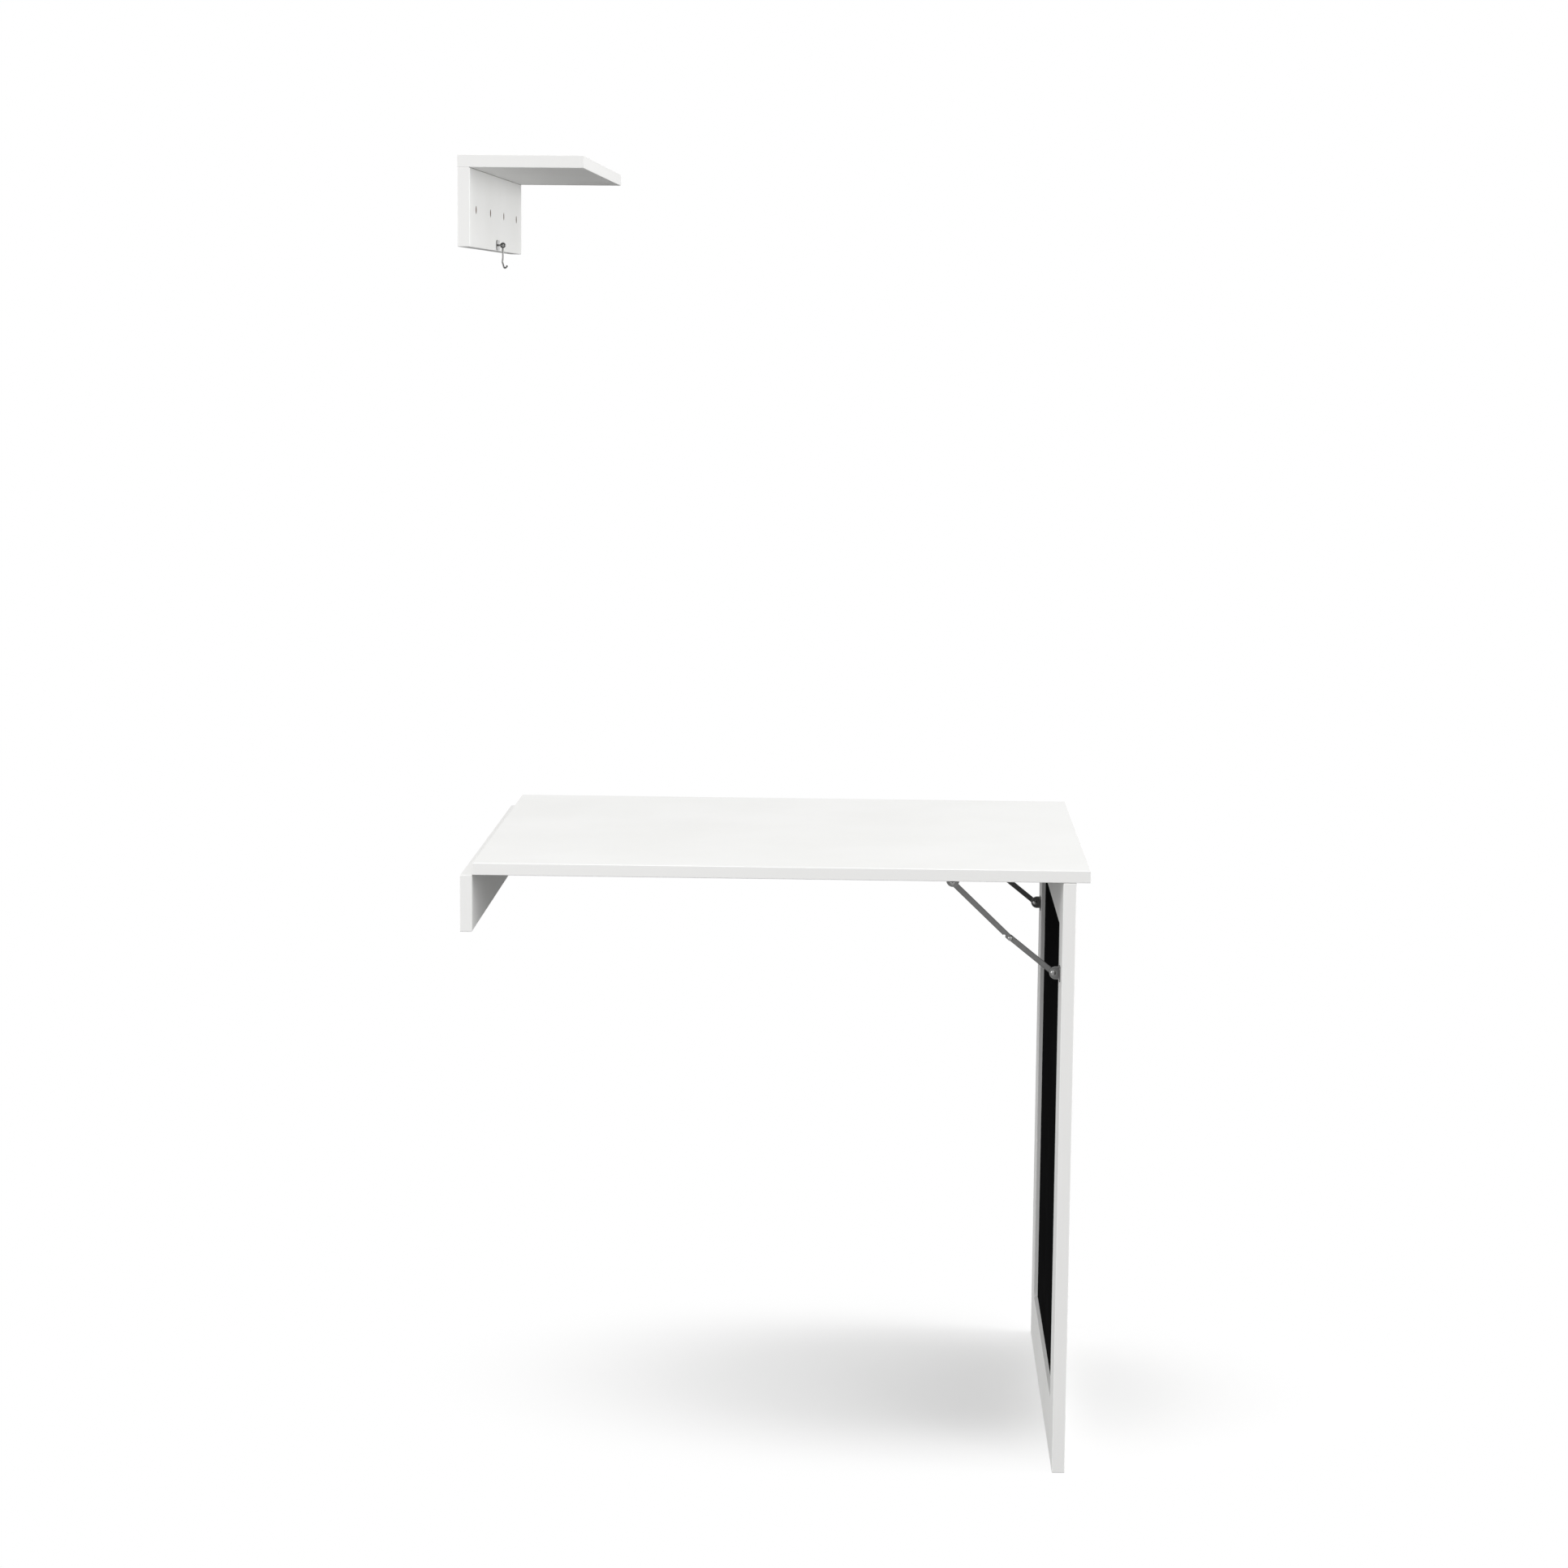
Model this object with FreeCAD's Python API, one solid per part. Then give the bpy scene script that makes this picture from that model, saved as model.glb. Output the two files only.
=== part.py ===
import FreeCAD, Part
import math
import os

# A wall mounted drop leaf table: a top that folds up against the wall, a framed leg that hangs from the top's
# outer end, two folding stays that brace the leg, and an upper panel with a shelf and a hook that holds the
# folded top. Millimetres. X runs from the wall into the room, Y along the wall and Z up. The origin is the
# centre of the wall bracket's back face, and everything is drawn with the table down.

os.makedirs("parts", exist_ok=True)
Vector = FreeCAD.Vector
TO_ROOM = Vector(1, 0, 0)
ALONG_WALL = Vector(0, 1, 0)
UP = Vector(0, 0, 1)
QUARTER_TURN = 90.0
FULL_TURN = 360.0

# Boards
width = 600.0
board = 15.0
edge_radius = 1.0
table_height = 755.0
top_length = 750.0
bracket_height = 70.0
panel_height = 93.0
shelf_depth = 150.0
stow_gap = 4.0

# Fixing holes: for wall plugs in the upper panel, for plain screws in the bracket
panel_hole_radius = 5.0
panel_hole_pitch = 156.0
panel_hole_rise = 45.0
bracket_hole_radius = 2.75
bracket_hole_pitch = 120.0
bracket_hole_drop = 18.0
hole_count = 4

# Leg frame
leg_thickness = 16.0
leg_setback = 17.0
leg_top_gap = 0.5
stile_width = 73.0
top_rail_height = 61.5
bottom_rail_height = 73.0
leg_panel_thickness = 3.0
leg_panel_recess = 5.0
groove_depth = 6.0
groove_play = 0.1
groove_end_play = 0.5

# Dowels and the shelf's assembly screws
dowel_radius = 4.0
dowel_length = 34.0
dowel_play = 0.05
dowel_end_play = 0.5
dowel_setback = 16.0
shelf_dowel_length = 30.0
shelf_dowel_entry = 11.0
shelf_dowel_spread = 250.0
shelf_screw_spread = 130.0
shelf_screw_length = 45.0
cap_radius = 6.0
cap_height = 1.5

# Small countersunk screws
screw_head_radius = 2.8
screw_head_depth = 1.2
screw_radius = 1.3
screw_length = 11.5
screw_tip_length = 3.0
screw_tip_radius = 0.3
screw_recess_depth = 0.7
screw_recess_width = 0.6
screw_recess_length = 3.4
screw_play = 0.05

# Hinges
pivot_play = 0.3
knuckle_radius = 2.5
knuckle_play = 0.3
hinge_pin_radius = 1.2
running_play = 0.05
pin_head_radius = 1.8
pin_head = 0.8
leaf_thickness = 1.2
wall_hinge_length = 60.0
wall_hinge_leaf = 21.0
wall_hinge_spacing = 115.0
wall_hinge_count = 3
leg_hinge_length = 50.0
leg_hinge_leaf = 17.0
leg_hinge_spacing = 140.0
leg_hinge_count = 2
crank_flange = 24.0
crank_thickness = 1.5
crank_play = 0.5
leaf_screw_inset = 12.0
leaf_screw_edge = 7.5

# Folding stays. fold_space is the room between the folded leg and the top, which the stays fold into.
fold_space = 15.6
stay_inset = 38.0
stay_reach = 133.0
stay_drop = 119.0
stay_bend = 5.0
ear_thickness = 1.5
ear_radius = 8.0
ear_height = 13.0
flange_length = 19.0
flange_width = 13.0
flange_corner = 2.0
flange_screw_spread = 5.5
flange_screw_setback = 7.0
arm_thickness = 2.0
arm_width = 6.8
arm_play = 0.3
head_clearance = 0.8
rivet_radius = 1.6
rivet_head_radius = 3.25
rivet_head_height = 1.5
leg_rivet_head_height = 1.2
rivet_tail_radius = 2.6
rivet_tail = 0.8
spacer_radius = 3.0
notch_radius = 1.8
notch_setback = 7.4
tongue_length = 5.5
tongue_width = 4.0

# Hook latch
plate_length = 30.0
plate_width = 13.0
plate_thickness = 1.2
plate_corner = 5.0
plate_screw_spread = 10.5
staple_half_width = 4.0
staple_reach = 7.0
staple_wire = 1.2
staple_bend = 1.7
latch_rise = 7.0
catch_reach = 3.8
catch_wire = 1.0
catch_bend = 1.5
catch_offset = 9.0
hook_wire = 1.1
hook_eye_radius = 2.6
hook_tip_radius = 1.4
hook_bend = 1.6
hook_straight = 15.0
hook_crank = 0.7
hook_crank_drop = 21.0
hook_toe = 2.0
hook_toe_drop = 30.0
hook_tip = 5.0
hook_tip_drop = 26.4

# Places worked out from the sizes above
hinge_x = board + pivot_play
hinge_z = bracket_height / 2
top_start = hinge_x + pivot_play
top_end = top_start + top_length
floor_z = hinge_z + board - table_height
panel_low = hinge_z + pivot_play + top_length + stow_gap
shelf_low = panel_low + panel_height
shelf_high = shelf_low + board
leg_inner_x = top_end - leg_setback - leg_thickness
leg_outer_x = leg_inner_x + leg_thickness
leg_high = hinge_z - leg_top_gap
leg_hinge_z = hinge_z - fold_space
half_width = width / 2
opening_half = half_width - stile_width
opening_low = floor_z + bottom_rail_height
opening_high = leg_high - top_rail_height
latch_z = panel_low + latch_rise
latch_x = board + staple_reach
catch_x = leg_outer_x + catch_offset


def block(x, y, z):
    """A box between the low and high value of each axis."""
    return Part.makeBox(x[1] - x[0], y[1] - y[0], z[1] - z[0], Vector(x[0], y[0], z[0]))


def soften(solid, is_arris):
    """Rounds the edges whose middle is_arris picks."""
    return solid.makeFillet(edge_radius, [edge for edge in solid.Edges if is_arris(edge.CenterOfMass)])


def rounded_board(x, y, z):
    return soften(block(x, y, z), lambda middle: True)


def rod_along_y(x, z, y, radius):
    return Part.makeCylinder(radius, y[1] - y[0], Vector(x, y[0], z), ALONG_WALL)


def spread(count, pitch):
    """Places along the wall, evenly spaced about the middle."""
    return [(index - (count - 1) / 2) * pitch for index in range(count)]


def save(name, *solids):
    """Writes one sub-part, as one solid or as a group of separate solids."""
    shape = solids[0] if len(solids) == 1 else Part.makeCompound(list(solids))
    shape.exportStep(f"parts/{name}.step")


def cut_all(solid, tools):
    for tool in tools:
        solid = solid.cut(tool)
    return solid


def countersunk_screw(place, inward, length=screw_length):
    """A wood screw with its head flush at place, driven inward, with a crossed recess in its head."""
    head = Part.makeCone(screw_radius, screw_head_radius, screw_head_depth, Vector(0, 0, -screw_head_depth))
    shank = Part.makeCylinder(screw_radius, length - screw_tip_length, Vector(0, 0, screw_tip_length - length))
    tip = Part.makeCone(screw_tip_radius, screw_radius, screw_tip_length, Vector(0, 0, -length))
    screw = head.fuse(shank).fuse(tip).removeSplitter()
    arm = (-screw_recess_length / 2, screw_recess_length / 2)
    slot = (-screw_recess_width / 2, screw_recess_width / 2)
    depth = (-screw_recess_depth, screw_recess_depth)
    screw = cut_all(screw, [block(arm, slot, depth), block(slot, arm, depth)])
    screw.Placement = FreeCAD.Placement(place, FreeCAD.Rotation(-UP, inward))
    return screw


def screw_hole(place, inward, length=screw_length):
    """The countersunk hole that such a screw sits in, through the leaf and into the board."""
    start = place - inward * screw_play
    mouth = Part.makeCone(
        screw_head_radius + 2 * screw_play, screw_radius + screw_play, screw_head_depth + screw_play, start, inward
    )
    return mouth.fuse(Part.makeCylinder(screw_radius + screw_play, length + 2 * screw_play, start, inward))


def bent_wire(points, bend, radius):
    """Round wire along straight runs joined by arcs of one bend radius."""
    edges = []
    start = points[0]
    for before, corner, after in zip(points, points[1:], points[2:]):
        back = (before - corner).normalize()
        ahead = (after - corner).normalize()
        half_turn = (math.pi - back.getAngle(ahead)) / 2
        tangent = bend * math.tan(half_turn)
        middle = (back + ahead).normalize() * (bend / math.cos(half_turn) - bend)
        arc_start = corner + back * tangent
        arc_end = corner + ahead * tangent
        edges.append(Part.LineSegment(start, arc_start).toShape())
        edges.append(Part.Arc(arc_start, corner + middle, arc_end).toShape())
        start = arc_end
    edges.append(Part.LineSegment(start, points[-1]).toShape())
    section = Part.Wire(Part.makeCircle(radius, points[0], points[1] - points[0]))
    return Part.Wire(edges).makePipeShell([section], True, False)


# Hinges: the carrying leaf has the two outer knuckles and holds the pin, the swinging leaf the middle one.


def knuckle_spans(middle, length):
    ends = [middle - length / 2, middle - length / 6, middle + length / 6, middle + length / 2]
    gap = knuckle_play / 2
    carrying = [(ends[0], ends[1] - gap), (ends[2] + gap, ends[3])]
    swinging = [(ends[1] + gap, ends[2] - gap)]
    return carrying, swinging


def hinge_leaf(axis, plate, own_spans, other_spans):
    """A leaf plate with its own knuckles, cut away round the other leaf's knuckles and bored for the pin."""
    leaf = plate
    for span in own_spans:
        leaf = leaf.fuse(rod_along_y(*axis, span, knuckle_radius))
    for low, high in other_spans:
        room = (low - knuckle_play, high + knuckle_play)
        leaf = leaf.cut(rod_along_y(*axis, room, knuckle_radius + knuckle_play))
    bore = (own_spans[0][0] - knuckle_play, own_spans[-1][1] + knuckle_play)
    leaf = leaf.cut(rod_along_y(*axis, bore, hinge_pin_radius + running_play))
    return leaf.removeSplitter()


def hinge_pin(axis, middle, length):
    ends = (middle - length / 2 - running_play, middle + length / 2 + running_play)
    pin = rod_along_y(*axis, ends, hinge_pin_radius)
    for low in (ends[0] - pin_head, ends[1]):
        pin = pin.fuse(rod_along_y(*axis, (low, low + pin_head), pin_head_radius))
    return pin.removeSplitter()


def hinge_pocket(axis, middle, length):
    """The round notch that a board has for a hinge's knuckles and pin heads."""
    half = length / 2 + pin_head + knuckle_play
    return rod_along_y(*axis, (middle - half, middle + half), knuckle_radius + knuckle_play)


def leaf_screw_places(middle, length):
    return [middle - length / 2 + leaf_screw_inset, middle, middle + length / 2 - leaf_screw_inset]


wall_axis = (hinge_x, hinge_z)
leg_axis = (leg_inner_x, leg_hinge_z)
wall_hinges = spread(wall_hinge_count, wall_hinge_spacing)
leg_hinges = spread(leg_hinge_count, leg_hinge_spacing)
wall_pockets = [hinge_pocket(wall_axis, middle, wall_hinge_length) for middle in wall_hinges]
leg_pockets = [hinge_pocket(leg_axis, middle, leg_hinge_length) for middle in leg_hinges]

# Each screw is a place on the leaf's face and the direction that it is driven in.
bracket_screws = [
    (Vector(board + leaf_thickness, y, hinge_z - wall_hinge_leaf + leaf_screw_edge), -TO_ROOM)
    for middle in wall_hinges
    for y in leaf_screw_places(middle, wall_hinge_length)
]
top_hinge_screws = [
    (Vector(hinge_x + wall_hinge_leaf - leaf_screw_edge, y, hinge_z - leaf_thickness), UP)
    for middle in wall_hinges
    for y in leaf_screw_places(middle, wall_hinge_length)
]
crank_screws = [
    (Vector(leg_inner_x - crank_flange + leaf_screw_edge, y, hinge_z - crank_thickness), UP)
    for middle in leg_hinges
    for y in leaf_screw_places(middle, leg_hinge_length)
]
leg_leaf_screws = [
    (Vector(leg_inner_x - leaf_thickness, y, leg_hinge_z - leg_hinge_leaf + leaf_screw_edge), TO_ROOM)
    for middle in leg_hinges
    for y in leaf_screw_places(middle, leg_hinge_length)
]


def wall_hinge(number, middle):
    carrying, swinging = knuckle_spans(middle, wall_hinge_length)
    along = (middle - wall_hinge_length / 2, middle + wall_hinge_length / 2)
    fixed_plate = block((board, board + leaf_thickness), along, (hinge_z - wall_hinge_leaf, hinge_z))
    top_plate = block((hinge_x, hinge_x + wall_hinge_leaf), along, (hinge_z - leaf_thickness, hinge_z))
    fixed_leaf = hinge_leaf(wall_axis, fixed_plate, carrying, swinging)
    top_leaf = hinge_leaf(wall_axis, top_plate, swinging, carrying)
    save(f"wall_hinge_fixed_leaf_{number}", cut_all(fixed_leaf, [screw_hole(*place) for place in bracket_screws]))
    save(f"wall_hinge_top_leaf_{number}", cut_all(top_leaf, [screw_hole(*place) for place in top_hinge_screws]))
    save(f"wall_hinge_pin_{number}", hinge_pin(wall_axis, middle, wall_hinge_length))


def leg_hinge(number, middle):
    """The cranked leaf reaches down from the top, so that the folded leg leaves room for the stays."""
    carrying, swinging = knuckle_spans(middle, leg_hinge_length)
    along = (middle - leg_hinge_length / 2, middle + leg_hinge_length / 2)
    web_x = leg_inner_x - crank_play
    flange = block((leg_inner_x - crank_flange, web_x), along, (hinge_z - crank_thickness, hinge_z))
    web = block((web_x - crank_thickness, web_x), along, (leg_hinge_z, hinge_z))
    leg_plate = block((leg_inner_x - leaf_thickness, leg_inner_x), along, (leg_hinge_z - leg_hinge_leaf, leg_hinge_z))
    cranked_leaf = hinge_leaf(leg_axis, flange.fuse(web), carrying, swinging)
    leg_leaf = hinge_leaf(leg_axis, leg_plate, swinging, carrying)
    save(f"leg_hinge_cranked_leaf_{number}", cut_all(cranked_leaf, [screw_hole(*place) for place in crank_screws]))
    save(f"leg_hinge_leg_leaf_{number}", cut_all(leg_leaf, [screw_hole(*place) for place in leg_leaf_screws]))
    save(f"leg_hinge_pin_{number}", hinge_pin(leg_axis, middle, leg_hinge_length))


# Folding stays: flat arms between two ear brackets. Both pins stand half of fold_space off their boards, so the
# folded arms lie straight between the leg and the top. From the near side inwards come the top ear, the upper
# arm, the leg ear and the lower arm, so that the folded upper arm passes in front of the leg ear.

pin_drop = fold_space / 2
top_pin = Vector(leg_inner_x - stay_reach, 0, hinge_z - pin_drop)
leg_pin = Vector(leg_inner_x - pin_drop, 0, hinge_z - stay_drop)
upper_arm_y = ear_thickness + arm_play
upper_arm_end_y = upper_arm_y + arm_thickness
leg_ear_y = upper_arm_end_y + head_clearance + leg_rivet_head_height
lower_arm_y = leg_ear_y + ear_thickness + arm_play
lower_arm_end_y = lower_arm_y + arm_thickness
stay_depth = lower_arm_end_y + arm_play + rivet_tail
stays = {"near": -half_width + stay_inset, "far": half_width - stay_inset - stay_depth}


def arm_lengths():
    """Arms that lie in line when folded, and bend by stay_bend past straight when they brace the leg."""
    span = top_pin.distanceToPoint(leg_pin)
    difference = stay_reach - (stay_drop - fold_space)
    spread_factor = 2 + 2 * math.cos(math.radians(stay_bend))
    root = math.sqrt(difference**2 + 4 * (span**2 - difference**2) / spread_factor)
    lower = (root - difference) / 2
    return lower + difference, lower


def elbow_place():
    """Where the arms meet, on the side of the line between the pins that is away from the leg hinge."""
    upper, lower = arm_lengths()
    line = leg_pin - top_pin
    along = (upper**2 - lower**2 + line.Length**2) / (2 * line.Length)
    aside = math.sqrt(upper**2 - along**2)
    direction = Vector(line).normalize()
    outward = Vector(direction.z, 0, -direction.x)
    return top_pin + direction * along + outward * aside


upper_arm_length, lower_arm_length = arm_lengths()
elbow = elbow_place()
upper_arm_angle = math.degrees(math.atan2(elbow.z - top_pin.z, elbow.x - top_pin.x))
lower_arm_angle = math.degrees(math.atan2(elbow.z - leg_pin.z, elbow.x - leg_pin.x))


def at_depth(place, y):
    return Vector(place.x, y, place.z)


def rivet(place, head_height, steps):
    """A turned rivet: a round head standing towards the near side, then a step for each radius and length."""
    ball_radius = (rivet_head_radius**2 + head_height**2) / (2 * head_height)
    half_angle = math.asin(rivet_head_radius / ball_radius) / 2
    crown = Vector(0, -head_height, 0)
    shoulder = Vector(ball_radius * math.sin(half_angle), ball_radius * (1 - math.cos(half_angle)) - head_height, 0)
    rim = Vector(rivet_head_radius, 0, 0)
    outline = [rim]
    y = 0.0
    for radius, length in steps:
        outline += [Vector(radius, y, 0), Vector(radius, y + length, 0)]
        y += length
    outline += [Vector(0, y, 0), crown]
    head = Part.Arc(crown, shoulder, rim).toShape()
    profile = Part.Face(Part.Wire([head] + Part.makePolygon(outline).Edges))
    turned = profile.revolve(Vector(0, 0, 0), ALONG_WALL, FULL_TURN)
    turned.translate(place)
    return turned


def ear_bracket(placement):
    """A D-shaped ear on a screwed flange. Its board is above it, and it stands down from the board."""
    centre_drop = ear_height - ear_radius
    ear = rod_along_y(0, -centre_drop, (0, ear_thickness), ear_radius)
    ear = ear.fuse(block((-ear_radius, ear_radius), (0, ear_thickness), (-centre_drop, 0)))
    ear = ear.cut(block((-ear_radius, ear_radius), (0, ear_thickness), (0, ear_radius)))
    flange_x = (-flange_length / 2, flange_length / 2)
    flange = block(flange_x, (-flange_width, ear_thickness), (-ear_thickness, 0))
    corners = [edge for edge in flange.Edges if is_flange_corner(edge.CenterOfMass)]
    bracket = ear.fuse(flange.makeFillet(flange_corner, corners))
    bracket = bracket.cut(rod_along_y(0, -pin_drop, (0, ear_thickness), rivet_radius + running_play))
    bracket = bracket.removeSplitter()
    bracket.Placement = placement
    return cut_all(bracket, [screw_hole(*place) for place in flange_screws(placement)])


def is_flange_corner(middle):
    return abs(middle.y + flange_width) < screw_play and abs(middle.z + ear_thickness / 2) < screw_play


def flange_screws(placement):
    return [
        (placement.multVec(Vector(x, -flange_screw_setback, -ear_thickness)), placement.Rotation.multVec(UP))
        for x in (-flange_screw_spread, flange_screw_spread)
    ]


def top_ear_placement(stay_y):
    return FreeCAD.Placement(Vector(top_pin.x, stay_y, hinge_z), FreeCAD.Rotation())


def leg_ear_placement(stay_y):
    place = Vector(leg_inner_x, stay_y + leg_ear_y, leg_pin.z)
    return FreeCAD.Placement(place, FreeCAD.Rotation(ALONG_WALL, QUARTER_TURN))


def flat_arm(length):
    """A flat bar with round ends and a pin hole at each, lying along X from its first hole."""
    depth = (0, arm_thickness)
    arm = block((0, length), depth, (-arm_width / 2, arm_width / 2))
    for x in (0, length):
        arm = arm.fuse(rod_along_y(x, 0, depth, arm_width / 2))
    holes = [rod_along_y(x, 0, depth, rivet_radius + running_play) for x in (0, length)]
    return cut_all(arm, holes)


def place_arm(arm, place, angle):
    arm = arm.removeSplitter()
    arm.Placement = FreeCAD.Placement(place, FreeCAD.Rotation(-ALONG_WALL, angle))
    return arm


def upper_arm(stay_y):
    """The upper arm, with the half-round notch beside its elbow."""
    notch = rod_along_y(upper_arm_length - notch_setback, -arm_width / 2, (0, arm_thickness), notch_radius)
    return place_arm(flat_arm(upper_arm_length).cut(notch), at_depth(top_pin, stay_y + upper_arm_y), upper_arm_angle)


def lower_arm(stay_y):
    """The lower arm, with the stop tongue past its elbow."""
    arm = flat_arm(lower_arm_length)
    root = lower_arm_length + (rivet_radius + arm_width / 2) / 2
    tongue_x = (root, lower_arm_length + tongue_length)
    tongue = block(tongue_x, (0, arm_thickness), (-tongue_width / 2, tongue_width / 2))
    return place_arm(arm.fuse(tongue), at_depth(leg_pin, stay_y + lower_arm_y), lower_arm_angle)


def elbow_rivet(stay_y):
    """The elbow's rivet with its spacer, which ends just short of the lower arm."""
    spacer_length = lower_arm_y - upper_arm_end_y - arm_play
    steps = [(rivet_radius, arm_thickness), (spacer_radius, spacer_length)]
    return rivet(at_depth(elbow, stay_y + upper_arm_y), rivet_head_height, steps)


def elbow_rivet_tail(stay_y):
    """The closed end of the elbow's rivet, in the lower arm."""
    start = at_depth(elbow, stay_y + lower_arm_y)
    shank = Part.makeCylinder(rivet_radius, arm_thickness, start, ALONG_WALL)
    tail = Part.makeCylinder(rivet_tail_radius, rivet_tail, start + ALONG_WALL * arm_thickness, ALONG_WALL)
    return shank.fuse(tail).removeSplitter()


def top_rivet(stay_y):
    steps = [(rivet_radius, upper_arm_end_y + arm_play), (rivet_tail_radius, rivet_tail)]
    return rivet(at_depth(top_pin, stay_y), rivet_head_height, steps)


def leg_rivet(stay_y):
    steps = [(rivet_radius, lower_arm_end_y + arm_play - leg_ear_y), (rivet_tail_radius, rivet_tail)]
    return rivet(at_depth(leg_pin, stay_y + leg_ear_y), leg_rivet_head_height, steps)


top_ear_screws = [place for stay_y in stays.values() for place in flange_screws(top_ear_placement(stay_y))]
leg_ear_screws = [place for stay_y in stays.values() for place in flange_screws(leg_ear_placement(stay_y))]


def stay(side, stay_y):
    save(f"stay_top_bracket_{side}", ear_bracket(top_ear_placement(stay_y)))
    save(f"stay_leg_bracket_{side}", ear_bracket(leg_ear_placement(stay_y)))
    save(f"stay_top_rivet_{side}", top_rivet(stay_y))
    save(f"stay_leg_rivet_{side}", leg_rivet(stay_y))
    save(f"upper_arm_{side}", upper_arm(stay_y))
    save(f"lower_arm_{side}", lower_arm(stay_y))
    save(f"elbow_rivet_{side}", elbow_rivet(stay_y))
    save(f"elbow_rivet_tail_{side}", elbow_rivet_tail(stay_y))


# Hook latch: a plate with a wire staple on the panel, the hook on it, and a like plate under the top.


def staple_plate(placement, reach, wire, bend):
    """A round cornered plate, long along Y, with a wire staple standing down from it."""
    x = (-plate_width / 2, plate_width / 2)
    plate = block(x, (-plate_length / 2, plate_length / 2), (-plate_thickness, 0))
    corners = [edge for edge in plate.Edges if abs(edge.CenterOfMass.z + plate_thickness / 2) < screw_play]
    corners = [edge for edge in corners if abs(edge.Length - plate_thickness) < screw_play]
    foot = -plate_thickness / 2
    route = [
        Vector(0, -staple_half_width, foot),
        Vector(0, -staple_half_width, -reach),
        Vector(0, staple_half_width, -reach),
        Vector(0, staple_half_width, foot),
    ]
    plate = plate.makeFillet(plate_corner, corners).fuse(bent_wire(route, bend, wire)).removeSplitter()
    plate.Placement = placement
    return cut_all(plate, [screw_hole(*place) for place in plate_screws(placement)])


def plate_screws(placement):
    return [
        (placement.multVec(Vector(0, y, -plate_thickness)), placement.Rotation.multVec(UP))
        for y in (-plate_screw_spread, plate_screw_spread)
    ]


latch_placement = FreeCAD.Placement(Vector(board, 0, latch_z), FreeCAD.Rotation(ALONG_WALL, -QUARTER_TURN))
catch_placement = FreeCAD.Placement(Vector(catch_x, 0, hinge_z), FreeCAD.Rotation())
latch_screws = plate_screws(latch_placement)
catch_screws = plate_screws(catch_placement)


def hook():
    """A wire hook hanging from the staple by its eye, with a slight crank and a turned up tip."""
    route = [
        Vector(0, 0, -hook_eye_radius),
        Vector(0, 0, -hook_straight),
        Vector(-hook_crank, 0, -hook_crank_drop),
        Vector(hook_toe, 0, -hook_toe_drop),
        Vector(hook_tip, 0, -hook_tip_drop),
    ]
    shank = bent_wire(route, hook_bend, hook_wire)
    tip = Part.makeSphere(hook_tip_radius, route[-1])
    eye = Part.makeTorus(hook_eye_radius, hook_wire, Vector(0, 0, 0), ALONG_WALL)
    shape = eye.fuse(shank).fuse(tip).removeSplitter()
    shape.translate(Vector(latch_x, 0, latch_z))
    return shape


# Upper panel and shelf


def panel_holes():
    z = panel_low + panel_hole_rise
    return [
        Part.makeCylinder(panel_hole_radius, board, Vector(0, y, z), TO_ROOM)
        for y in spread(hole_count, panel_hole_pitch)
    ]


def shelf_dowels(play=0.0, end_play=0.0):
    z = shelf_low + shelf_dowel_entry - shelf_dowel_length - end_play
    length = shelf_dowel_length + 2 * end_play
    return [
        Part.makeCylinder(dowel_radius + play, length, Vector(board / 2, y, z))
        for y in (-shelf_dowel_spread, 0, shelf_dowel_spread)
    ]


shelf_screw_places = [
    (Vector(board / 2, y, shelf_high), -UP, shelf_screw_length) for y in (-shelf_screw_spread, shelf_screw_spread)
]


def upper_panel():
    panel = rounded_board((0, board), (-half_width, half_width), (panel_low, shelf_low))
    tools = panel_holes() + shelf_dowels(dowel_play, dowel_end_play)
    tools += [screw_hole(*place) for place in shelf_screw_places + latch_screws]
    return cut_all(panel, tools)


def shelf():
    plank = rounded_board((0, shelf_depth), (-half_width, half_width), (shelf_low, shelf_high))
    tools = shelf_dowels(dowel_play, dowel_end_play) + [screw_hole(*place) for place in shelf_screw_places]
    return cut_all(plank, tools)


def shelf_screw_caps():
    """Shallow round caps over the heads of the shelf's screws."""
    caps = []
    for place, inward, length in shelf_screw_places:
        cap = Part.makeCylinder(cap_radius, cap_height, place, UP)
        rim = [edge for edge in cap.Edges if edge.CenterOfMass.z > shelf_high + cap_height / 2]
        caps.append(cap.makeFillet(edge_radius, [edge for edge in rim if edge.Closed]))
    return caps


def wall_bracket():
    plank = rounded_board((0, board), (-half_width, half_width), (-hinge_z, hinge_z))
    holes = [
        Part.makeCylinder(bracket_hole_radius, board, Vector(0, y, hinge_z - bracket_hole_drop), TO_ROOM)
        for y in spread(hole_count, bracket_hole_pitch)
    ]
    return cut_all(plank, holes + wall_pockets + [screw_hole(*place) for place in bracket_screws])


# Top and leg frame


def table_top():
    plank = rounded_board((top_start, top_end), (-half_width, half_width), (hinge_z, hinge_z + board))
    screws = top_hinge_screws + crank_screws + top_ear_screws + catch_screws
    return cut_all(plank, wall_pockets + [screw_hole(*place) for place in screws])


groove = block(
    (leg_inner_x + leg_panel_recess - groove_play, leg_inner_x + leg_panel_recess + leg_panel_thickness + groove_play),
    (-opening_half - groove_depth, opening_half + groove_depth),
    (opening_low - groove_depth, opening_high + groove_depth),
)


def leg_dowels(play=0.0, end_play=0.0):
    half = dowel_length / 2 + end_play
    heights = (
        floor_z + dowel_setback,
        opening_low - dowel_setback,
        opening_high + dowel_setback,
        leg_high - dowel_setback,
    )
    return [
        rod_along_y(leg_inner_x + leg_thickness / 2, z, (joint - half, joint + half), dowel_radius + play)
        for z in heights
        for joint in (-opening_half, opening_half)
    ]


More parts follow.
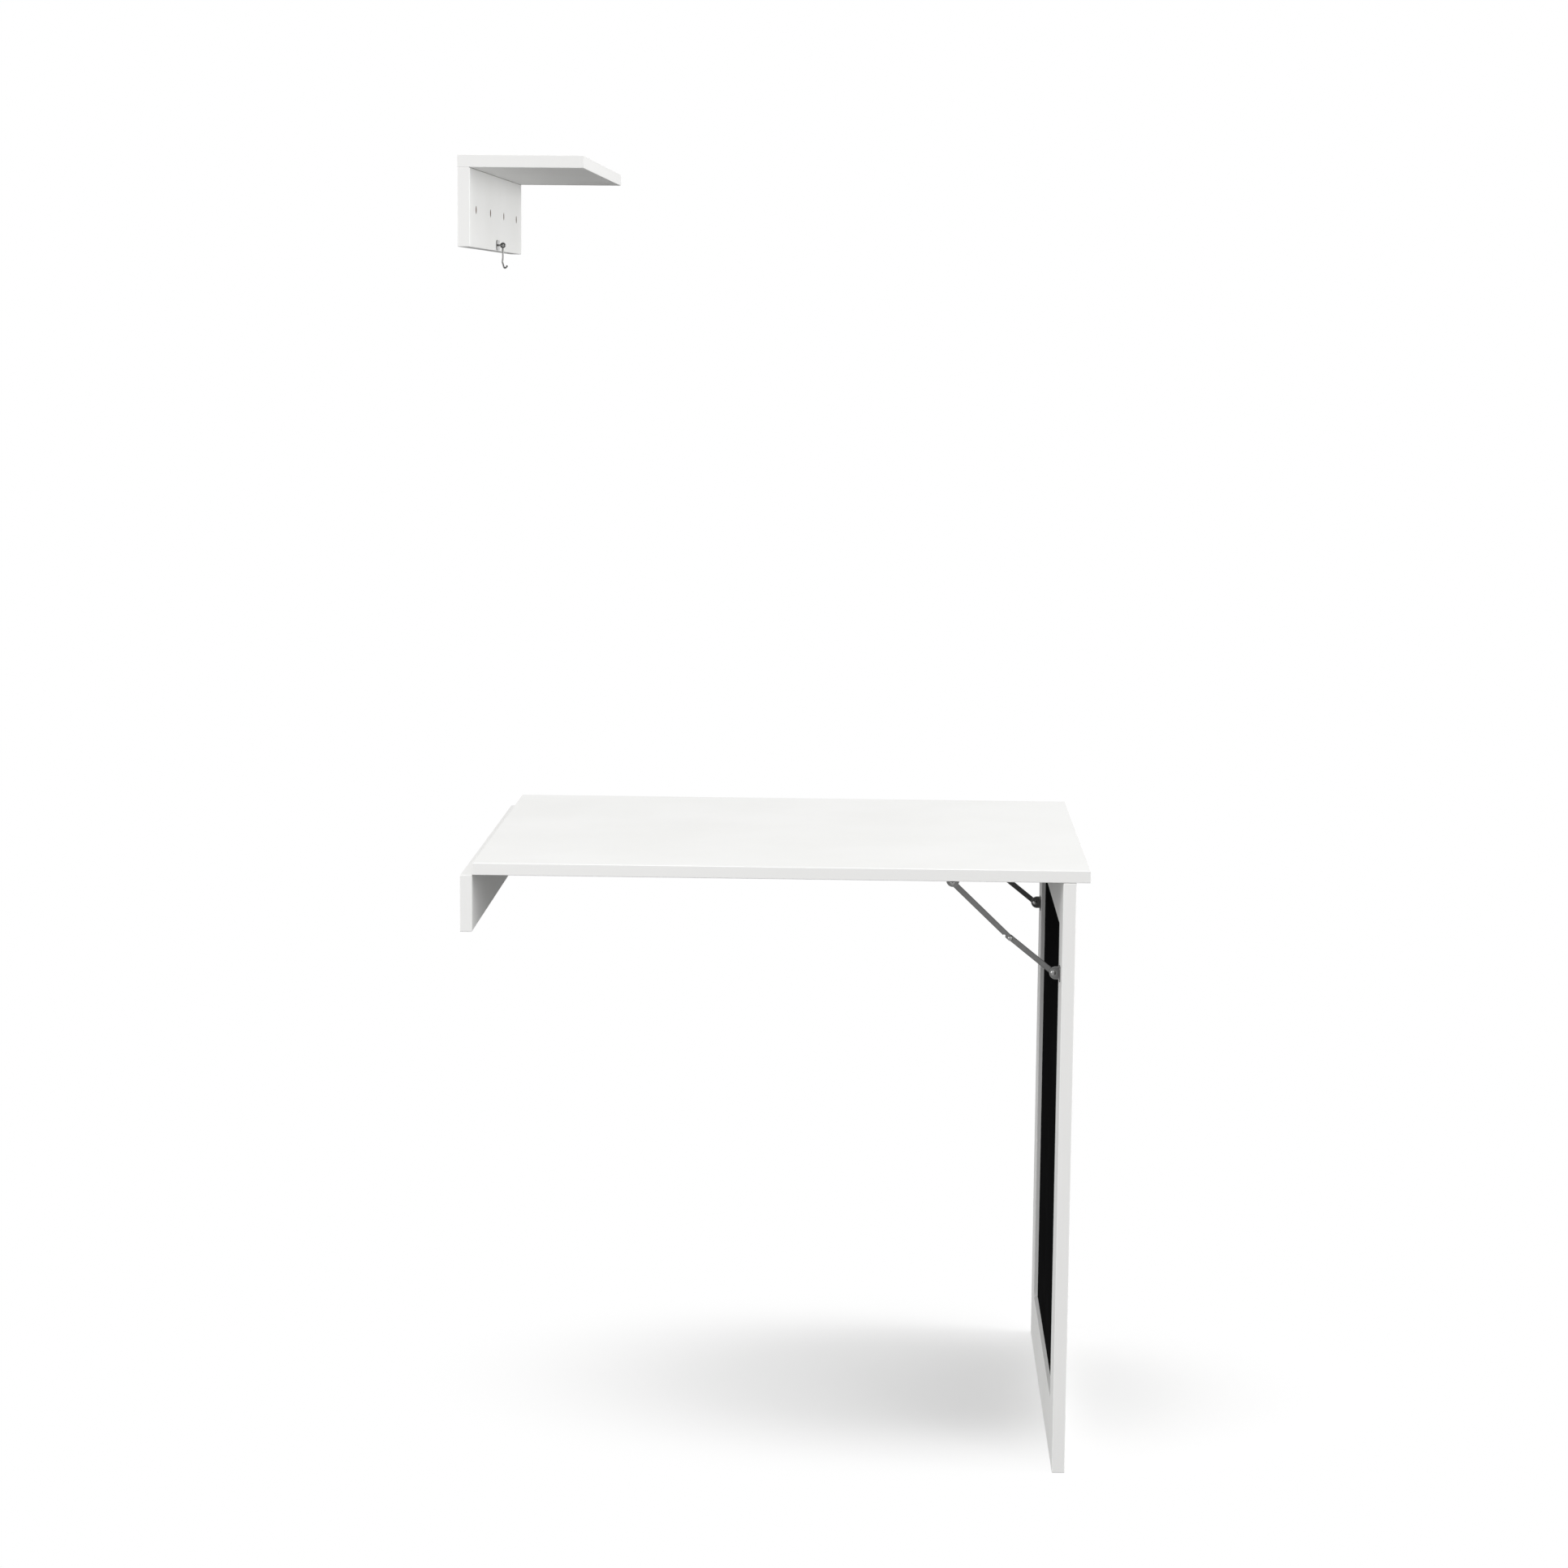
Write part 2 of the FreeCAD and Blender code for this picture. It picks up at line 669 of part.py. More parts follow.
leg_dowel_holes = leg_dowels(dowel_play, dowel_end_play)


def leg_stile(side):
    """An upright of the frame, rounded on every edge but those at the rails. side is -1 near, 1 far."""
    y = sorted((side * opening_half, side * half_width))
    post = block((leg_inner_x, leg_outer_x), y, (floor_z, leg_high))
    post = soften(post, lambda middle: abs(abs(middle.y) - opening_half) > edge_radius)
    return cut_all(post, [groove] + leg_dowel_holes + [screw_hole(*place) for place in leg_ear_screws])


def leg_rail(low, high, outer_z):
    rail = block((leg_inner_x, leg_outer_x), (-opening_half, opening_half), (low, high))
    rail = soften(rail, lambda middle: abs(middle.z - outer_z) < edge_radius and abs(middle.y) < opening_half / 2)
    tools = [groove] + leg_dowel_holes + leg_pockets + [screw_hole(*place) for place in leg_leaf_screws]
    return cut_all(rail, tools)


def leg_panel():
    """The thin panel held in the frame's groove."""
    reach = groove_depth - groove_end_play
    x = leg_inner_x + leg_panel_recess
    y = (-opening_half - reach, opening_half + reach)
    return block((x, x + leg_panel_thickness), y, (opening_low - reach, opening_high + reach))


save("upper_panel", upper_panel())
save("shelf", shelf())
save("shelf_dowels", *shelf_dowels())
save("shelf_screws", *[countersunk_screw(*place) for place in shelf_screw_places])
save("shelf_screw_caps", *shelf_screw_caps())
save("latch_plate", staple_plate(latch_placement, staple_reach, staple_wire, staple_bend))
save("latch_plate_screws", *[countersunk_screw(*place) for place in latch_screws])
save("hook", hook())
save("wall_bracket", wall_bracket())
save("wall_hinge_fixed_screws", *[countersunk_screw(*place) for place in bracket_screws])
save("table_top", table_top())
save("wall_hinge_top_screws", *[countersunk_screw(*place) for place in top_hinge_screws])
save("leg_hinge_top_screws", *[countersunk_screw(*place) for place in crank_screws])
save("stay_top_screws", *[countersunk_screw(*place) for place in top_ear_screws])
save("catch_plate", staple_plate(catch_placement, catch_reach, catch_wire, catch_bend))
save("catch_plate_screws", *[countersunk_screw(*place) for place in catch_screws])
save("leg_stile_near", leg_stile(-1))
save("leg_stile_far", leg_stile(1))
save("leg_top_rail", leg_rail(opening_high, leg_high, leg_high))
save("leg_bottom_rail", leg_rail(floor_z, opening_low, floor_z))
save("leg_panel", leg_panel())
save("leg_dowels", *leg_dowels())
save("leg_hinge_leg_screws", *[countersunk_screw(*place) for place in leg_leaf_screws])
save("stay_leg_screws", *[countersunk_screw(*place) for place in leg_ear_screws])
for index, middle_y in enumerate(wall_hinges):
    wall_hinge(index + 1, middle_y)
for index, middle_y in enumerate(leg_hinges):
    leg_hinge(index + 1, middle_y)
for stay_side, near_y in stays.items():
    stay(stay_side, near_y)

print("table hinge axis", wall_axis, "leg hinge axis", leg_axis, "hook axis", (latch_x, latch_z))
print("top pin", top_pin, "leg pin", leg_pin, "elbow", elbow, "arms", upper_arm_length, lower_arm_length)
print("arms turn as the table folds", -upper_arm_angle, lower_arm_angle - QUARTER_TURN)
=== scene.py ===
import math

import bpy
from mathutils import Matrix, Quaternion, Vector


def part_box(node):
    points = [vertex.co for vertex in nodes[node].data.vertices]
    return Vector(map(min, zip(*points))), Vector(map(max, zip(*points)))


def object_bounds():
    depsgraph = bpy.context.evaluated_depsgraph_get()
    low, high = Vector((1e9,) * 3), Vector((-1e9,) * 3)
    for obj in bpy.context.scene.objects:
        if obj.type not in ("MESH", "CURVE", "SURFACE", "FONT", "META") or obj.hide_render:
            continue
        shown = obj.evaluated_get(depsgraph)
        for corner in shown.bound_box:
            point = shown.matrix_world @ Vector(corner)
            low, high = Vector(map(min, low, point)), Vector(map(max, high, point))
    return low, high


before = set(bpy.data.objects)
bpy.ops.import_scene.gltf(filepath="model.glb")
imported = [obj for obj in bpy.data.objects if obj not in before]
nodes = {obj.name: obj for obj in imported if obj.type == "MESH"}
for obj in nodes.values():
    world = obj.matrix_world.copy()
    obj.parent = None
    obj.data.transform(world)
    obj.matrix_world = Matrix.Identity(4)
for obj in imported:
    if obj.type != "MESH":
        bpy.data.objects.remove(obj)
cad_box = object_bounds()


# ---- Wall bracket ------------------------------------------------------------------------------------------------
# The board that carries the table on the wall. It is 15 mm chipboard with a white melamine face on both sides and
# a 1 mm plastic band glued round its edges, which is rounded over. The holes show the raw chips.


class Shade:
    """One value in a finish. Arithmetic on it adds the Math nodes, or Vector Math nodes where a place is in it."""

    def __init__(self, finish, socket):
        self.finish = finish
        self.socket = socket

    def worked(self, operation, *operands):
        is_place = any(isinstance(x, Vector) or getattr(x, "is_place", False) for x in operands)
        kind = "VectorMath" if is_place else "Math"
        return self.finish.node(kind, {"operation": operation}, dict(enumerate(operands)))

    @property
    def is_place(self):
        return self.socket.type == "VECTOR"

    def __add__(self, other):
        return self.worked("ADD", self, other)

    def __radd__(self, other):
        return self.worked("ADD", other, self)

    def __sub__(self, other):
        return self.worked("SUBTRACT", self, other)

    def __rsub__(self, other):
        return self.worked("SUBTRACT", other, self)

    def __mul__(self, other):
        return self.worked("MULTIPLY", self, other)

    def __rmul__(self, other):
        return self.worked("MULTIPLY", other, self)

    def __truediv__(self, other):
        return self.worked("DIVIDE", self, other)

    def __abs__(self):
        return self.worked("ABSOLUTE", self)

    def at_least(self, other):
        return self.worked("MAXIMUM", self, other)

    def at_most(self, other):
        return self.worked("MINIMUM", self, other)

    def length(self):
        return self.worked("LENGTH", self)

    def along(self, direction):
        return self.worked("DOT_PRODUCT", self, direction)

    def part(self, axis):
        return self.finish.node("SeparateXYZ", {}, {0: self}, output=axis)

    def rise(self, low, high):
        """0 below low and 1 above high, with a smooth step between. It falls where high is under low."""
        limits = {"Value": self, "From Min": low, "From Max": high}
        return self.finish.node("MapRange", {"interpolation_type": "SMOOTHSTEP"}, limits)


class Finish:
    """The node tree of a material, or of the daylight. Every node in it comes from node()."""

    def __init__(self, owner):
        owner.use_nodes = True
        self.owner = owner
        self.tree = owner.node_tree
        self.tree.nodes.clear()

    def node(self, kind, settings, sockets, output=None):
        """Adds a node, makes its settings, then fills its sockets by name or number. Gives the named output."""
        made = self.tree.nodes.new("ShaderNode" + kind)
        for name, value in settings.items():
            setattr(made, name, value)
        for name, value in sockets.items():
            named = [s for s in made.inputs if s.enabled and s.name == name]
            socket = named[0] if named else made.inputs[name]
            if isinstance(value, Shade):
                self.tree.links.new(value.socket, socket)
            elif socket.type == "RGBA":
                socket.default_value = (*value, 1)
            elif socket.type == "VECTOR" and isinstance(value, (int, float)):
                socket.default_value = (value, value, value)
            else:
                socket.default_value = value
        shown = [s for s in made.outputs if s.enabled and output in (None, s.name)]
        return Shade(self, shown[0]) if shown else None

    def place(self):
        return self.node("TexCoord", {}, {}, output="Object")

    def noise(self, place, size, detail, roughness=0.5):
        """Cloudy noise from 0 to 1, with blots of about that size in metres."""
        sockets = {"Vector": place, "Scale": 1 / size, "Detail": detail, "Roughness": roughness}
        return self.node("TexNoise", {}, sockets)

    def chips(self, place, size, output):
        """Cells of about that size in metres: their distance or their random colour."""
        return self.node("TexVoronoi", {}, {"Vector": place, "Scale": 1 / size}, output=output)

    def mixed(self, share, first, second):
        return self.node("Mix", {"data_type": "RGBA"}, {"Factor": share, "A": first, "B": second})

    def bump(self, height, distance, strength):
        return self.node("Bump", {}, {"Height": height, "Distance": distance, "Strength": strength})

    def surface(self, shader):
        self.node("OutputMaterial", {}, {"Surface": shader})
        return self.owner

    def painted(self, **sockets):
        """The finished material, from a Principled shader. Socket names are written with _ for a space."""
        named = {name.replace("_", " "): value for name, value in sockets.items()}
        return self.surface(self.node("BsdfPrincipled", {}, named))


def new_finish(name):
    return Finish(bpy.data.materials.new(name))


def cover(names, material):
    for name in names:
        for slot in nodes[name].material_slots:
            slot.material = material


MM = 0.001
ARRIS = 1.0 * MM
RAW_FROM = (-0.12 * MM, -0.25 * MM)
GLUE_REACH = (0.14 * MM, 0.02 * MM)
BAND_FROM = (0, 0.1 * MM)
ARRIS_FROM = (0.05 * MM, 0.4 * MM)
BUTT_DIRT_FROM = (ARRIS - 0.25 * MM, ARRIS - 0.1 * MM)
CHIP_SIZE = 1.8 * MM
MELAMINE = (0.86, 0.86, 0.85)
MELAMINE_SHADED = (0.835, 0.835, 0.822)
EDGE_BAND = (0.85, 0.848, 0.838)
# The lighter arris tone is a painted highlight along the rounded edges.
ARRIS_PAINTED_HIGHLIGHT = (0.93, 0.93, 0.922)
GLUE_LINE = (0.62, 0.60, 0.56)
# The seam tone darkens the butted ends of the rails as a dark joint, and the seam under the shelf as painted shade.
SEAM_DIRT_AND_SHADE = (0.26, 0.26, 0.25)
SEAM_SHARE = 0.55
CHIP_LIGHT = (0.30, 0.17, 0.10)
CHIP_DARK = (0.13, 0.065, 0.037)


def board_finish(name, banded, butted="", seam=None):
    """White melamine board. banded gives the axes that its banded edges look along, and butted the axis of its
    ends that stand against another board. seam marks the line between it and the next board, which is darkened
    as painted shade. past holds how far a place lies outside the board's core on each axis, and thin is the axis
    of its two broad faces."""
    low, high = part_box(name)
    size = high - low
    thin = "XYZ"[list(size).index(min(size))]
    finish = new_finish(name + "_melamine")
    place = finish.place()
    inner_half = size / 2 - Vector((ARRIS, ARRIS, ARRIS))
    from_core = abs(place - (low + high) / 2) - inner_half
    past = {axis: from_core.part(axis) for axis in "XYZ"}
    edge = past[banded[0]].at_least(past[banded[-1]])
    deepest = past["X"].at_least(past["Y"]).at_least(past["Z"])
    skin = from_core.at_least(0.0).length() + deepest.at_most(0.0) - ARRIS
    raw = skin.rise(*RAW_FROM)
    glue = abs(edge).rise(*GLUE_REACH)
    band = edge.rise(*BAND_FROM)
    arris = edge.rise(*ARRIS_FROM) * past[thin].rise(*ARRIS_FROM)

    clouds = finish.noise(place, 0.16, detail=3.0)
    pearl = finish.noise(place, 0.9 * MM, detail=1.0)
    waves = finish.noise(place, 9 * MM, detail=1.0)
    smudges = finish.noise(place, 0.055, detail=4.0, roughness=0.62).rise(0.42, 0.72)
    face_colour = finish.mixed(clouds.rise(0.3, 0.75), MELAMINE, MELAMINE_SHADED)
    colour = finish.mixed(band, face_colour, EDGE_BAND)
    # The rounded arris is painted lighter: a painted highlight.
    colour = finish.mixed(arris, colour, ARRIS_PAINTED_HIGHLIGHT)
    colour = finish.mixed(glue * 0.75, colour, GLUE_LINE)
    if butted:
        colour = finish.mixed(past[butted].rise(*BUTT_DIRT_FROM) * 0.7, colour, SEAM_DIRT_AND_SHADE)
    # The seam between the boards is darkened as painted shade.
    if seam:
        colour = finish.mixed(seam(place) * SEAM_SHARE, colour, SEAM_DIRT_AND_SHADE)
    colour = finish.mixed(raw, colour, chipboard(finish, place))
    roughness = 0.44 + smudges * 0.10 + pearl * 0.05 - band * 0.08 + raw * 0.4
    grain = finish.chips(place, 1.6 * MM, "Distance") * raw * 6 + waves * 0.8 + pearl * 0.25
    return finish.painted(
        Base_Color=colour,
        Roughness=roughness,
        Normal=finish.bump(grain - glue * 0.6, 0.03 * MM, 0.5),
        Coat_Weight=arris * 0.25,
        Coat_Roughness=0.2,
        Specular_IOR_Level=0.0,
    )


def chipboard(finish, place):
    """Raw chipboard: flat chips of light and dark wood in a brown glue."""
    chip = finish.node("SeparateColor", {}, {0: finish.chips(place, CHIP_SIZE, "Color")}, output="Red")
    crumbs = finish.noise(place, 0.7 * MM, detail=2.0)
    return finish.mixed(chip * 0.7 + crumbs * 0.4, CHIP_DARK, CHIP_LIGHT)


cover(["wall_bracket"], board_finish("wall_bracket", "YZ"))


# ---- Wall hinges -------------------------------------------------------------------------------------------------
# Three butt hinges of rolled steel, nickel plated. Their leaves are screwed to the bracket's front and the top's
# underside, and each turns on a pin with two turned heads. The knuckles sit in pockets in both boards.

NICKEL = (0.60, 0.59, 0.565)
NICKEL_DULL = (0.47, 0.46, 0.44)
RUB_RADIUS = 3.8 * MM
RUB_REACH = 5.0 * MM
ROLLED = 0.96
ALONG_WALL = Vector((0, 1, 0))
ACROSS_WALL = Vector((1, 0, 1))


def steel_finish(name, bright, dull, roughness, grain, rubbed=(), edge=None, painted_edge_tone=None):
    """Plated steel with its rolling grain along one direction, and rubbed smooth round each pivot, whose axis lies
    along the wall. edge marks some of its edges, which take another tone: painted shade on an arm's long edges
    and a painted highlight round an ear's rim."""
    finish = new_finish(name)
    place = finish.place()
    drawn = place - place.along(grain) * grain * ROLLED
    lines = finish.noise(drawn, 0.35 * MM, detail=2.0)
    clouds = finish.noise(place, 7 * MM, detail=3.0)
    grime = finish.noise(place, 2.2 * MM, detail=3.0, roughness=0.6).rise(0.5, 0.75)
    tone = clouds * 0.7 + lines * 0.35
    gloss = lines * 0.08 + grime * 0.1 + roughness
    for centre in rubbed:
        away = ((place - centre) * ACROSS_WALL).length()
        rubbing = away.rise(RUB_REACH, RUB_RADIUS)
        tone = tone - rubbing * 0.5
        gloss = gloss - rubbing * 0.12
    colour = finish.mixed(tone, bright, dull)
    if edge:
        colour = finish.mixed(edge(place), colour, painted_edge_tone)
    return finish.painted(
        Base_Color=colour,
        Metallic=1.0,
        Roughness=gloss,
        Normal=finish.bump(lines * 0.5 + clouds * 0.6, 0.02 * MM, 0.4),
    )


nickel = steel_finish("nickel_plated_steel", NICKEL, NICKEL_DULL, 0.24, ALONG_WALL)
cover([name for name in nodes if name.startswith("wall_hinge")], nickel)


# ---- Table top ---------------------------------------------------------------------------------------------------
# The leaf that folds up to the wall, 750 x 600 mm of the same white board. It is banded on all four sides and
# has no hole through it, as every screw under it stops short of its face.

cover(["table_top"], board_finish("table_top", "XY"))


# ---- Leg frame ---------------------------------------------------------------------------------------------------
# Two stiles and two rails of white board, dowelled and glued, with a thin black panel in a groove. The panel is
# hardboard with a matt sprayed lacquer.

for stile in ("leg_stile_near", "leg_stile_far"):
    cover([stile], board_finish(stile, "YZ"))
for rail in ("leg_top_rail", "leg_bottom_rail"):
    cover([rail], board_finish(rail, "Z", butted="Y"))

LACQUER = (0.0075, 0.0075, 0.0077)
LACQUER_DUSTY = (0.0140, 0.0140, 0.0143)


def lacquer_finish():
    finish = new_finish("black_lacquer")
    place = finish.place()
    spray = finish.noise(place, 1.1 * MM, detail=2.0)
    dust = finish.noise(place, 0.09, detail=5.0, roughness=0.6).rise(0.45, 0.8)
    wiped = finish.noise(place * Vector((1, 4, 1)), 0.12, detail=3.0).rise(0.4, 0.7)
    return finish.painted(
        Base_Color=finish.mixed(dust * 0.5 + spray * 0.15, LACQUER, LACQUER_DUSTY),
        Roughness=0.62 + wiped * 0.12 + spray * 0.05,
        Normal=finish.bump(spray, 0.05 * MM, 0.35),
        Specular_IOR_Level=0.0,
    )


cover(["leg_panel"], lacquer_finish())

BEECH = (0.52, 0.34, 0.19)
BEECH_FLECK = (0.36, 0.21, 0.11)
FIBRE_STRETCH = 0.93


def beech_finish(name, grain):
    """Turned beech: fine grain along the dowel and short dark flecks."""
    finish = new_finish(name)
    place = finish.place()
    drawn = place - place.along(grain) * grain * FIBRE_STRETCH
    fibres = finish.noise(drawn, 0.5 * MM, detail=3.0)
    flecks = finish.noise(drawn, 1.4 * MM, detail=1.0).rise(0.58, 0.72)
    return finish.painted(
        Base_Color=finish.mixed(fibres * 0.5 + flecks * 0.5, BEECH, BEECH_FLECK),
        Roughness=0.55 + fibres * 0.15,
        Normal=finish.bump(fibres, 0.05 * MM, 0.5),
    )


cover(["leg_dowels"], beech_finish("beech_along_wall", ALONG_WALL))


# ---- Leg hinges --------------------------------------------------------------------------------------------------
# Two cranked hinges, plated like the wall hinges. Their webs reach down from the top, so that the folded leg
# leaves room for the stays.

cover([name for name in nodes if name.startswith("leg_hinge")], nickel)


# ---- Folding stays -----------------------------------------------------------------------------------------------
# Two flat steel arms each side, pressed from strip and dark zinc plated, with D-shaped ears on screwed flanges.
# Domed rivets of a brighter zinc join them. The far stay is toned darker, as it hangs in deeper shade.

DARK_ZINC = (0.180, 0.180, 0.178)
DARK_ZINC_DULL = (0.125, 0.125, 0.124)
SHADY_ZINC = (0.075, 0.075, 0.074)
SHADY_ZINC_DULL = (0.048, 0.048, 0.047)
# The arm edge tone is painted shade along the rolled edges of the arms.
ARM_EDGE_SHADE = (0.075, 0.075, 0.075)
RIVET_ZINC = (0.310, 0.310, 0.307)
RIVET_ZINC_DULL = (0.200, 0.200, 0.198)
# The ear rim tone is a painted highlight round each ear.
EAR_RIM_HIGHLIGHT = (0.235, 0.235, 0.232)
ARM_HALF = 3.4 * MM
ARM_EDGE_FROM = ARM_HALF * 0.62
EAR_RADIUS = 8.0 * MM
EAR_RIM_WIDTH = 1.2 * MM
ZINC_ROUGHNESS = 0.36
TOWARDS_ROOM = Vector((1, 0, 0))
UPWARDS = Vector((0, 0, 1))


def middle(name):
    low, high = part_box(name)
    return (low + high) / 2


def arm_edge_shade(pivot, across):
    """Marks the two long edges of an arm, where the press rolled them over, which are darkened as painted shade."""
    return lambda place: abs((place - pivot).along(across)).rise(ARM_EDGE_FROM, ARM_HALF) * 0.7


def ear_rim_highlight(centre):
    """Marks the round rim of an ear, which is painted lighter as a painted highlight."""
    inside = EAR_RADIUS - EAR_RIM_WIDTH
    return lambda place: ((place - centre) * ACROSS_WALL).length().rise(inside, EAR_RADIUS) * 0.8


for side, bright, dull in (("near", DARK_ZINC, DARK_ZINC_DULL), ("far", SHADY_ZINC, SHADY_ZINC_DULL)):
    elbow = middle("elbow_rivet_" + side)
    top_pivot = middle("stay_top_rivet_" + side)
    leg_pivot = middle("stay_leg_rivet_" + side)
    for arm, pivot in (("upper_arm_" + side, top_pivot), ("lower_arm_" + side, leg_pivot)):
        strip = elbow - pivot
        strip.y = 0
        strip.normalize()
        # The long edges of each arm are darkened as painted shade.
        edges = arm_edge_shade(pivot, strip.cross(ALONG_WALL))
        pivots = [elbow, pivot]
        zinc = steel_finish(arm + "_zinc", bright, dull, ZINC_ROUGHNESS, strip, pivots, edges, ARM_EDGE_SHADE)
        cover([arm], zinc)
    for ear, pivot, away in (
        ("stay_top_bracket_" + side, top_pivot, -UPWARDS),
        ("stay_leg_bracket_" + side, leg_pivot, -TOWARDS_ROOM),
    ):
        low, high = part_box(ear)
        reach = Vector([low[axis] if away[axis] else (low[axis] + high[axis]) / 2 for axis in range(3)])
        # The ear's rim is painted lighter: a painted highlight.
        rim = ear_rim_highlight(reach - away * EAR_RADIUS)
        zinc = steel_finish(ear + "_zinc", bright, dull, ZINC_ROUGHNESS, ALONG_WALL, [pivot], rim, EAR_RIM_HIGHLIGHT)
        cover([ear], zinc)

rivet_zinc = steel_finish("rivet_zinc", RIVET_ZINC, RIVET_ZINC_DULL, 0.12, ALONG_WALL)
cover([name for name in nodes if "rivet" in name], rivet_zinc)
cover(["stay_top_screws", "stay_leg_screws"], nickel)


# ---- Upper panel and shelf ---------------------------------------------------------------------------------------
# A panel for the wall and a narrow shelf on it, of the same white board. The shelf stands on dowels and two
# screws, whose heads have white push-on caps.

SEAM_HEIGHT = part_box("shelf")[0].z
SEAM_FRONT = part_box("upper_panel")[1].x
# The seam under the shelf is darkened with painted shade within these reaches of the joint.
SEAM_SHADE_REACH = 0.9 * MM
SEAM_SHADE_FULL = 0.2 * MM
CORNER_INNER = (SEAM_FRONT - 1.5 * MM, SEAM_FRONT - 0.5 * MM)
CORNER_OUTER = (SEAM_FRONT + 0.5 * MM, SEAM_FRONT)


def in_corner(place):
    """Marks the corner under the shelf, along the panel's front, where the seam is darkened as painted shade."""
    across = place.part("X")
    return across.rise(*CORNER_INNER) * across.rise(*CORNER_OUTER)


def panel_seam(place):
    return place.part("Z").rise(SEAM_HEIGHT - SEAM_SHADE_REACH, SEAM_HEIGHT - SEAM_SHADE_FULL) * in_corner(place)


def shelf_seam(place):
    return place.part("Z").rise(SEAM_HEIGHT + SEAM_SHADE_REACH, SEAM_HEIGHT + SEAM_SHADE_FULL) * in_corner(place)


cover(["upper_panel"], board_finish("upper_panel", "YZ", seam=panel_seam))
cover(["shelf"], board_finish("shelf", "XY", seam=shelf_seam))
cover(["shelf_dowels"], beech_finish("beech_upright", UPWARDS))
cover(["shelf_screws"], nickel)

CAP_PLASTIC = (0.83, 0.83, 0.82)
CAP_PLASTIC_AGED = (0.80, 0.79, 0.76)


def cap_finish():
    finish = new_finish("moulded_cap")
    place = finish.place()
    spark = finish.noise(place, 0.35 * MM, detail=1.0)
    aged = finish.noise(place, 5 * MM, detail=3.0)
    return finish.painted(
        Base_Color=finish.mixed(aged, CAP_PLASTIC, CAP_PLASTIC_AGED),
        Roughness=0.38 + spark * 0.12,
        Normal=finish.bump(spark, 0.02 * MM, 0.5),
    )


cover(["shelf_screw_caps"], cap_finish())


# ---- Hook latch --------------------------------------------------------------------------------------------------
# A plate with a wire staple on the panel and a bent wire hook hanging in it, and a like plate under the top for
# the hook to hold. All of it is plated strip and wire, glossy and rather dark.

LATCH_STEEL = (0.24, 0.24, 0.236)
LATCH_STEEL_DULL = (0.085, 0.085, 0.083)
LATCH_ROUGHNESS = 0.14

latch_steel = steel_finish("latch_steel", LATCH_STEEL, LATCH_STEEL_DULL, LATCH_ROUGHNESS, ALONG_WALL)
cover(["latch_plate", "latch_plate_screws", "hook", "catch_plate", "catch_plate_screws"], latch_steel)


# ---- Floor and light ---------------------------------------------------------------------------------------------
# A pale floor that the leg stands on, white where nothing shades it. The light is white from all round, with
# five soft lamps in front and at both sides.

FLOOR_REACH = 60.0
FLOOR_SEEN = (0.86, 0.86, 0.86)
FLOOR_BOUNCE = (0.18, 0.18, 0.18)
FLOOR_LIFT = 0.12
SHADOW_CENTRE = Vector((0.554, 0.07, 0))
SHADOW_REACH = Vector((0.686, 0.432, 1))
DAYLIGHT = 0.895
WHITE = (1, 1, 1)
TABLE_MIDDLE = (0.35, 0.0, 0.1)
LEG_MIDDLE = (0.70, 0.0, -0.3)


def seen_directly(finish):
    """1 where the eye, a reflection or glass looks at it, and 0 where it lights something."""
    kinds = ("Camera", "Glossy", "Transmission")
    rays = [finish.node("LightPath", {}, {}, output=f"Is {kind} Ray") for kind in kinds]
    return (rays[0] + rays[1] + rays[2]).at_most(1.0)


def floor_finish():
    finish = new_finish("floor_finish")
    seen = seen_directly(finish)
    from_shadow = ((finish.place() - SHADOW_CENTRE) / SHADOW_REACH * Vector((1, 1, 0))).length()
    clear = from_shadow.rise(0.3, 1.0)
    matt = finish.node("BsdfDiffuse", {}, {"Color": FLOOR_SEEN})
    glow = finish.node("Emission", {}, {"Color": WHITE, "Strength": FLOOR_LIFT})
    shaded = finish.node("AddShader", {}, {0: matt, 1: glow})
    white = finish.node("Emission", {}, {"Color": WHITE, "Strength": 1.0})
    shown = finish.node("MixShader", {}, {0: clear, 1: shaded, 2: white})
    bounce = finish.node("BsdfDiffuse", {}, {"Color": FLOOR_BOUNCE})
    return finish.surface(finish.node("MixShader", {}, {0: seen, 1: bounce, 2: shown}))


floor_height = cad_box[0].z
corners = [(x, y, 0) for x, y in ((-1, -1), (1, -1), (1, 1), (-1, 1))]
floor_mesh = bpy.data.meshes.new("floor")
floor_mesh.from_pydata([Vector(corner) * FLOOR_REACH for corner in corners], [], [(0, 1, 2, 3)])
floor_mesh.materials.append(floor_finish())
floor = bpy.data.objects.new("floor", floor_mesh)
floor.location.z = floor_height
bpy.context.scene.collection.objects.link(floor)

